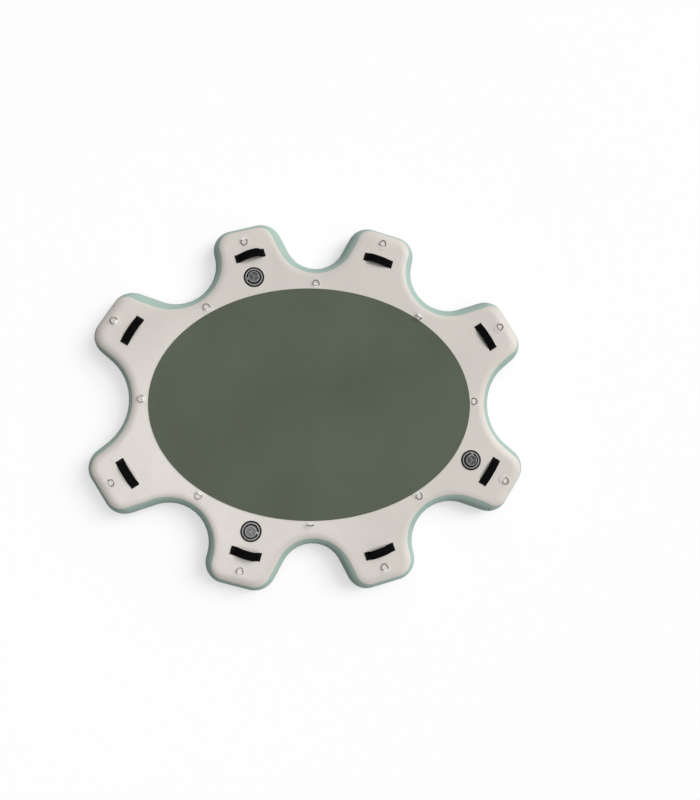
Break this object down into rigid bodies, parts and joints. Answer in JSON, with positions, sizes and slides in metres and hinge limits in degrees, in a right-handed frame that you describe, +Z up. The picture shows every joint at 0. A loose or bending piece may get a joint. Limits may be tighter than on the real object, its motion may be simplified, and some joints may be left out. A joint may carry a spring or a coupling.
{
  "type": "inflatable dock platform",
  "caption": "Inflatable drop-stitch dock platform with lobes and docking bays, foam deck pad, webbing handles, hinged D-rings and capped inflation valves.",
  "frame": {"origin": "middle of the underside, on the plane that the hull rests on", "axes": "+X along the hull's length, +Y across it, +Z up through the deck"},
  "size_m": [2.999, 2.5454, 0.1933],
  "materials": {
    "cream_skin": "satin coated fabric",
    "mint_side_wall": "satin coated fabric",
    "base_cloth": "woven",
    "sage_foam": "fine brushed foam",
    "cream_patch": "satin coated fabric",
    "stainless_ring": "polished",
    "black_webbing": "woven",
    "black_surround": "matt",
    "dark_plastic": "satin",
    "grey_plastic": "satin",
    "spring_steel": "bright"
  },
  "bodies": {
    "hull": {"top_skin": "cream_skin", "bottom_skin": "cream_skin", "side_wall": "mint_side_wall", "drop_stitch_core": "base_cloth", "deck_pad": "sage_foam", "d_ring_patch_1": "cream_patch", "d_ring_patch_2": "cream_patch", "d_ring_patch_3": "cream_patch", "d_ring_patch_4": "cream_patch", "d_ring_patch_5": "cream_patch", "d_ring_patch_6": "cream_patch", "d_ring_patch_7": "cream_patch", "d_ring_patch_8": "cream_patch", "d_ring_patch_9": "cream_patch", "d_ring_patch_10": "cream_patch", "d_ring_patch_11": "cream_patch", "d_ring_patch_12": "cream_patch", "d_ring_patch_13": "cream_patch", "d_ring_patch_14": "cream_patch", "d_ring_patch_15": "cream_patch", "d_ring_patch_16": "cream_patch", "handle_1": "black_webbing", "handle_2": "black_webbing", "handle_3": "black_webbing", "handle_4": "black_webbing", "handle_5": "black_webbing", "handle_6": "black_webbing", "handle_7": "black_webbing", "handle_8": "black_webbing", "valve_surround_1": "black_surround", "valve_body_1": "dark_plastic", "valve_spring_1": "spring_steel", "valve_surround_2": "black_surround", "valve_body_2": "dark_plastic", "valve_spring_2": "spring_steel", "valve_surround_3": "black_surround", "valve_body_3": "dark_plastic", "valve_spring_3": "spring_steel"},
    "ring_1": {"d_ring_1": "stainless_ring"},
    "ring_2": {"d_ring_2": "stainless_ring"},
    "ring_3": {"d_ring_3": "stainless_ring"},
    "ring_4": {"d_ring_4": "stainless_ring"},
    "ring_5": {"d_ring_5": "stainless_ring"},
    "ring_6": {"d_ring_6": "stainless_ring"},
    "ring_7": {"d_ring_7": "stainless_ring"},
    "ring_8": {"d_ring_8": "stainless_ring"},
    "ring_9": {"d_ring_9": "stainless_ring"},
    "ring_10": {"d_ring_10": "stainless_ring"},
    "ring_11": {"d_ring_11": "stainless_ring"},
    "ring_12": {"d_ring_12": "stainless_ring"},
    "ring_13": {"d_ring_13": "stainless_ring"},
    "ring_14": {"d_ring_14": "stainless_ring"},
    "ring_15": {"d_ring_15": "stainless_ring"},
    "ring_16": {"d_ring_16": "stainless_ring"},
    "cap_1": {"valve_cap_1": "grey_plastic"},
    "plunger_1": {"valve_plunger_1": "grey_plastic"},
    "cap_2": {"valve_cap_2": "grey_plastic"},
    "plunger_2": {"valve_plunger_2": "grey_plastic"},
    "cap_3": {"valve_cap_3": "grey_plastic"},
    "plunger_3": {"valve_plunger_3": "grey_plastic"}
  },
  "joints": [
    {"name": "ring_1_swing", "type": "hinge", "parent": "hull", "child": "ring_1", "pos_m": [1.32518, 0.55329, 0.1547], "axis": [0.5299, -0.848, 0], "range_deg": [0, 180]},
    {"name": "ring_2_swing", "type": "hinge", "parent": "hull", "child": "ring_2", "pos_m": [0.48225, 1.13219, 0.1547], "axis": [0.9641, -0.2656, 0], "range_deg": [0, 180]},
    {"name": "ring_3_swing", "type": "hinge", "parent": "hull", "child": "ring_3", "pos_m": [-0.49664, 1.13549, 0.1547], "axis": [0.9641, 0.2656, 0], "range_deg": [-180, 0]},
    {"name": "ring_4_swing", "type": "hinge", "parent": "hull", "child": "ring_4", "pos_m": [-1.33923, 0.53553, 0.1547], "axis": [0.5299, 0.848, 0], "range_deg": [0, 180]},
    {"name": "ring_5_swing", "type": "hinge", "parent": "hull", "child": "ring_5", "pos_m": [-1.33032, -0.54884, 0.1547], "axis": [-0.5299, 0.848, 0], "range_deg": [-153, 27]},
    {"name": "ring_6_swing", "type": "hinge", "parent": "hull", "child": "ring_6", "pos_m": [-0.47758, -1.1397, 0.1547], "axis": [-0.9641, 0.2656, 0], "range_deg": [-180, 0]},
    {"name": "ring_7_swing", "type": "hinge", "parent": "hull", "child": "ring_7", "pos_m": [0.49917, -1.1296, 0.1547], "axis": [-0.9641, -0.2656, 0], "range_deg": [-180, 0]},
    {"name": "ring_8_swing", "type": "hinge", "parent": "hull", "child": "ring_8", "pos_m": [1.34368, -0.53124, 0.1547], "axis": [-0.5299, -0.848, 0], "range_deg": [0, 180]},
    {"name": "ring_9_swing", "type": "hinge", "parent": "hull", "child": "ring_9", "pos_m": [1.12305, 0.022, 0.1547], "axis": [0, -1, 0], "range_deg": [0, 165]},
    {"name": "ring_10_swing", "type": "hinge", "parent": "hull", "child": "ring_10", "pos_m": [0.74346, 0.62356, 0.1547], "axis": [0.8387, -0.5446, 0], "range_deg": [-150, 15]},
    {"name": "ring_11_swing", "type": "hinge", "parent": "hull", "child": "ring_11", "pos_m": [0.0105, 0.82798, 0.1547], "axis": [1, 0, 0], "range_deg": [0, 165]},
    {"name": "ring_12_swing", "type": "hinge", "parent": "hull", "child": "ring_12", "pos_m": [-0.73188, 0.64061, 0.1547], "axis": [0.8387, 0.5446, 0], "range_deg": [0, 165]},
    {"name": "ring_13_swing", "type": "hinge", "parent": "hull", "child": "ring_13", "pos_m": [-1.14005, 0.014, 0.1547], "axis": [0, 1, 0], "range_deg": [0, 165]},
    {"name": "ring_14_swing", "type": "hinge", "parent": "hull", "child": "ring_14", "pos_m": [-0.75017, -0.6192, 0.1547], "axis": [-0.8387, 0.5446, 0], "range_deg": [0, 165]},
    {"name": "ring_15_swing", "type": "hinge", "parent": "hull", "child": "ring_15", "pos_m": [-0.011, -0.82849, 0.1547], "axis": [-1, 0, 0], "range_deg": [-90, 75]},
    {"name": "ring_16_swing", "type": "hinge", "parent": "hull", "child": "ring_16", "pos_m": [0.7305, -0.62839, 0.1547], "axis": [-0.8387, -0.5446, 0], "range_deg": [0, 165]},
    {"name": "cap_1_lift", "type": "slide", "parent": "hull", "child": "cap_1", "axis": [0, 0, 1], "range_m": [0, 0.05]},
    {"name": "plunger_1_push", "type": "slide", "parent": "hull", "child": "plunger_1", "axis": [0, 0, 1], "range_m": [-0.006, 0], "stiffness_N_per_m": 1500, "springref_m": 0.004, "deforming": ["valve_spring_1"]},
    {"name": "cap_2_lift", "type": "slide", "parent": "hull", "child": "cap_2", "axis": [0, 0, 1], "range_m": [0, 0.05]},
    {"name": "plunger_2_push", "type": "slide", "parent": "hull", "child": "plunger_2", "axis": [0, 0, 1], "range_m": [-0.006, 0], "stiffness_N_per_m": 1500, "springref_m": 0.004, "deforming": ["valve_spring_2"]},
    {"name": "cap_3_lift", "type": "slide", "parent": "hull", "child": "cap_3", "axis": [0, 0, 1], "range_m": [0, 0.05]},
    {"name": "plunger_3_push", "type": "slide", "parent": "hull", "child": "plunger_3", "axis": [0, 0, 1], "range_m": [-0.006, 0], "stiffness_N_per_m": 1500, "springref_m": 0.004, "deforming": ["valve_spring_3"]}
  ]
}
